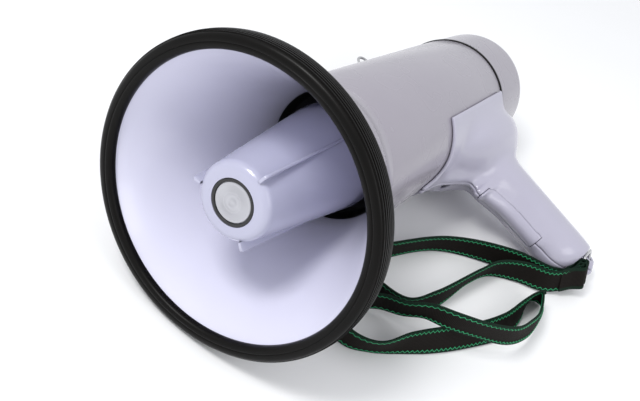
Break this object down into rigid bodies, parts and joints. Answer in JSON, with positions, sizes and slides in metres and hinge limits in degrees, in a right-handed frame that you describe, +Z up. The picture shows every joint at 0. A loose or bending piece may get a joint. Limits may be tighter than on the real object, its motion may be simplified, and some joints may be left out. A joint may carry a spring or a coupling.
{
  "type": "handheld megaphone",
  "caption": "Pistol-grip megaphone with a folded horn, rubber-edged mouth, battery barrel with screw-on rear cap, trigger and carrying strap, lying on its side.",
  "frame": {"origin": "centre of the footprint on the table, the strap left out", "axes": "+X horizontally towards the mouth of the horn, +Z up, the grip pointing towards +Y"},
  "size_m": [0.4124, 0.2868, 0.1991],
  "materials": {
    "lilac": "glossy moulded plastic, pale lilac grey",
    "rubber": "satin black rubber",
    "black": "black plastic",
    "silver": "satin silver",
    "steel": "plated steel",
    "ferrite": "dark ferrite",
    "copper": "copper windings and lacquered foil",
    "board": "green circuit board",
    "cell": "printed metal jacket",
    "web": "ribbed polyester webbing with green stitch lines"
  },
  "bodies": {
    "megaphone": {"horn_bell": "lilac", "rim_guard": "rubber", "horn_bullet": "lilac", "badge_disc": "silver", "badge_ring": "black", "bullet_screw": "steel", "throat_cup": "black", "throat_tube": "black", "driver_diaphragm": "copper", "voice_coil": "copper", "driver_front_plate": "steel", "driver_magnet": "ferrite", "driver_yoke": "steel", "driver_cover": "black", "barrel_shell": "lilac", "top_loop": "steel", "barrel_seal": "rubber", "bulkhead": "black", "circuit_board": "board", "output_transformer": "copper", "battery_holder": "black", "front_contacts": "steel", "rear_contacts": "steel", "cell_1": "cell", "cell_2": "cell", "cell_3": "cell", "cell_4": "cell", "cell_5": "cell", "cell_6": "cell", "cell_7": "cell", "cell_8": "cell", "grip_left": "lilac", "grip_right": "lilac", "trigger_pin": "steel", "micro_switch": "black", "grip_screw_1": "steel", "grip_screw_2": "steel", "grip_screw_3": "steel", "siren_switch": "black", "strap": "web"},
    "trigger": {"trigger": "lilac"},
    "switch_button": {"switch_button": "rubber"},
    "siren_slider": {"siren_slider": "black"},
    "rear_cap": {"rear_cap": "lilac", "mic_grille": "black", "mic_capsule": "silver", "mic_holder": "rubber", "volume_control": "steel"},
    "volume_knob": {"volume_knob": "black"},
    "strap_ring": {"strap_ring": "steel"}
  },
  "joints": [
    {"name": "trigger_hinge", "type": "hinge", "parent": "megaphone", "child": "trigger", "pos_m": [-0.07546, 0.04387, 0.04242], "axis": [-0.1336, 0.2351, 0.9627], "range_deg": [0, 6], "stiffness_Nm_per_rad": 1.2, "springref_deg": -8.59},
    {"name": "button_slide", "type": "slide", "parent": "megaphone", "child": "switch_button", "axis": [-0.9905, 0, -0.1374], "range_m": [0, 0.0016]},
    {"name": "siren_slide", "type": "slide", "parent": "megaphone", "child": "siren_slider", "axis": [-0.0323, -0.972, 0.2329], "range_m": [-0.003, 0.003]},
    {"name": "cap_turn", "type": "hinge", "parent": "megaphone", "child": "rear_cap", "pos_m": [-0.16553, -0.0436, 0.05129], "axis": [-0.9905, 0, -0.1374], "range_deg": [0, 90]},
    {"name": "volume_turn", "type": "hinge", "parent": "rear_cap", "child": "volume_knob", "pos_m": [-0.2023, -0.01736, 0.03978], "axis": [-0.9905, 0, -0.1374], "range_deg": [0, 280]},
    {"name": "ring_swing", "type": "hinge", "parent": "megaphone", "child": "strap_ring", "pos_m": [-0.11822, 0.13668, 0.0159], "axis": [-0.2114, -0.4095, 0.8875], "range_deg": [0, 140]}
  ],
  "couplings": [
    {"joint": "button_slide", "follows": "trigger_hinge", "m_per_rad": 0.0152}
  ]
}
